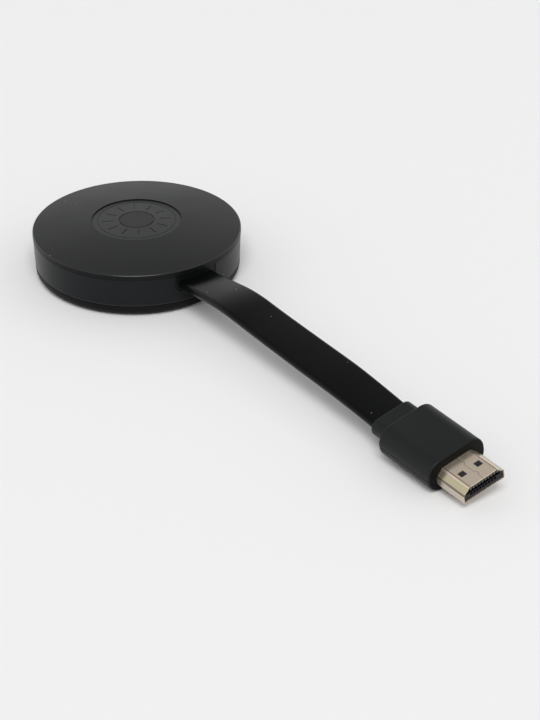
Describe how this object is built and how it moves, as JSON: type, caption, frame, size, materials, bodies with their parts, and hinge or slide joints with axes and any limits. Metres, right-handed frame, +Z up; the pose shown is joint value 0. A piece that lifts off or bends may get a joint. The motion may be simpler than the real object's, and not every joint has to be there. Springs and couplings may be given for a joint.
{
  "type": "wireless display dongle",
  "caption": "Round dongle that receives a wireless picture, with a short flat ribbon cable ending in a metal-shelled video plug.",
  "frame": {"origin": "on the surface that the housing rests on, under the middle of the round housing", "axes": "+Z up through the lid, +X out of the housing along the ribbon cable towards the plug, +Y towards the button"},
  "size_m": [0.1902, 0.0624, 0.0163],
  "materials": {
    "lid_plastic": "fine matte moulded",
    "wall_plastic": "satin moulded",
    "base_plastic": "satin moulded",
    "screw_steel": "zinc-plated",
    "board_laminate": "solder mask",
    "chip_resin": "moulded resin",
    "shield_tin": "tinned",
    "ceramic": "fired",
    "ferrite": "sintered",
    "pad_silicone": "soft",
    "sink_aluminium": "extruded",
    "socket_steel": "nickel-plated",
    "contact_brass": "gold-flashed",
    "button_plastic": "satin moulded",
    "insulator_resin": "moulded resin",
    "clear_plastic": "clear moulded",
    "led_resin": "clear resin",
    "cable_jacket": "smooth soft jacket",
    "lead_jacket": "extruded",
    "grip_plastic": "soft satin over-moulding",
    "plated_steel": "nickel-plated, warm"
  },
  "bodies": {
    "housing": {"top_cover": "lid_plastic", "middle_shell": "wall_plastic", "base_cover": "base_plastic", "base_screws": "screw_steel", "main_board": "board_laminate", "processor": "chip_resin", "memory_chip": "chip_resin", "flash_chip": "chip_resin", "wireless_module": "shield_tin", "chip_antenna": "ceramic", "crystal": "shield_tin", "power_inductors": "ferrite", "capacitors": "ceramic", "thermal_pad": "pad_silicone", "heat_sink": "sink_aluminium", "power_socket_shell": "socket_steel", "power_socket_tongue": "insulator_resin", "power_socket_contacts": "contact_brass", "switch_body": "socket_steel", "light_pipe": "clear_plastic", "status_led": "led_resin", "cable_anchor": "cable_jacket", "cable_leads": "lead_jacket", "plug_housing": "grip_plastic", "plug_shell": "plated_steel", "plug_insulator": "insulator_resin", "plug_contacts_upper": "contact_brass", "plug_contacts_lower": "contact_brass", "ribbon_cable": "cable_jacket"},
    "button": {"mode_button": "button_plastic", "switch_plunger": "insulator_resin"}
  },
  "joints": [
    {"name": "button_press", "type": "slide", "parent": "housing", "child": "button", "axis": [0, -1, 0], "range_m": [0, 0.0003], "stiffness_N_per_m": 2600, "springref_m": -0.0003}
  ]
}
